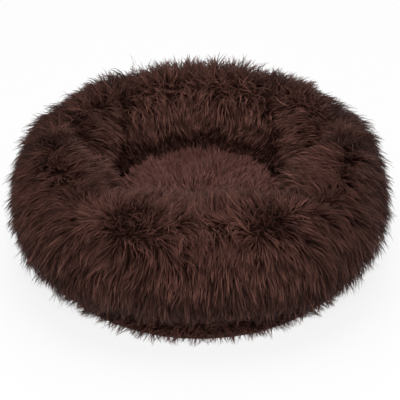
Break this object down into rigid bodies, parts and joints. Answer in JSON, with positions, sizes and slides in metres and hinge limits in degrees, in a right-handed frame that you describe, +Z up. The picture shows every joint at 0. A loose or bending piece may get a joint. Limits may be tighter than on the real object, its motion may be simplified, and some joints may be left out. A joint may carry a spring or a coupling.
{
  "type": "dog bed",
  "caption": "Round pet bed with a fat stuffed roll of long-pile fur round a padded floor, on a low base that closes with a zip.",
  "frame": {"origin": "on the floor under the middle of the base", "axes": "+Z up from the floor, -Y towards the front of the bed, where the roll is fattest; the zip is at the rear, towards +Y"},
  "size_m": [0.576, 0.575, 0.199],
  "materials": {
    "roll_fur": "matte",
    "pad_fur": "matte",
    "inner_cloth": "matte",
    "fibre": "matte",
    "base_cloth": "matte",
    "zip_tape": "matte",
    "zip_coil": "satin",
    "zip_metal": "satin"
  },
  "bodies": {
    "bed": {"bolster_outer_cover": "roll_fur", "bolster_inner_cover": "roll_fur", "bolster_bag": "inner_cloth", "bolster_fill": "fibre", "pad_cover": "pad_fur", "pad_bag": "inner_cloth", "pad_fill": "fibre", "base_panel": "base_cloth", "base_binding": "base_cloth", "base_boxing": "roll_fur", "base_wadding": "fibre", "divider_cloth": "inner_cloth", "zip_upper_tape": "zip_tape", "zip_lower_tape": "zip_tape", "zip_upper_coil": "zip_coil", "zip_lower_coil": "zip_coil", "zip_open_stop": "zip_metal", "zip_closed_stop": "zip_metal"},
    "slider": {"zip_slider": "zip_metal"},
    "pull": {"zip_pull": "zip_metal"}
  },
  "joints": [
    {"name": "zip_run", "type": "hinge", "parent": "bed", "child": "slider", "pos_m": [0, 0, 0.0178], "axis": [0, 0, -1], "range_deg": [0, 98.9]},
    {"name": "pull_flip", "type": "hinge", "parent": "slider", "child": "pull", "pos_m": [-0.18769, 0.16056, 0.0178], "axis": [0, 0, 1], "range_deg": [0, 150]}
  ]
}
